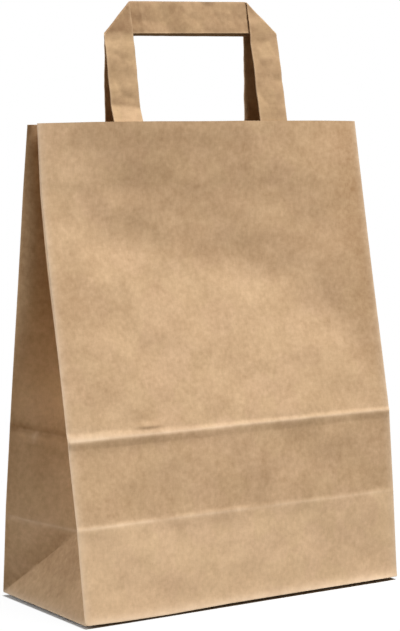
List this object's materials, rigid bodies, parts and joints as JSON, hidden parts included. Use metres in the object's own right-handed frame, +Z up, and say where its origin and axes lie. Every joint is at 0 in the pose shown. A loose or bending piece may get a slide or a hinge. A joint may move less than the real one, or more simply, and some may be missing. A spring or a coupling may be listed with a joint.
{
  "type": "paper carrier bag",
  "caption": "Kraft paper carrier bag with a folded block bottom, inward gussets and flat paper handles glued inside the mouth, for carrying light goods.",
  "frame": {"origin": "middle of the base, on the surface that the bag stands on", "axes": "+Z up, +X along the front panel to the right as seen from the front, +Y from the front panel to the back panel"},
  "size_m": [0.22, 0.1002, 0.3471],
  "materials": {
    "kraft_paper": "unbleached kraft, matte, lightly mottled",
    "handle_tape": "folded kraft tape, matte",
    "patch_paper": "kraft strip, matte"
  },
  "bodies": {
    "root": {"bag_body": "kraft_paper", "front_handle": "handle_tape", "rear_handle": "handle_tape", "front_patch": "patch_paper", "rear_patch": "patch_paper"}
  },
  "joints": []
}
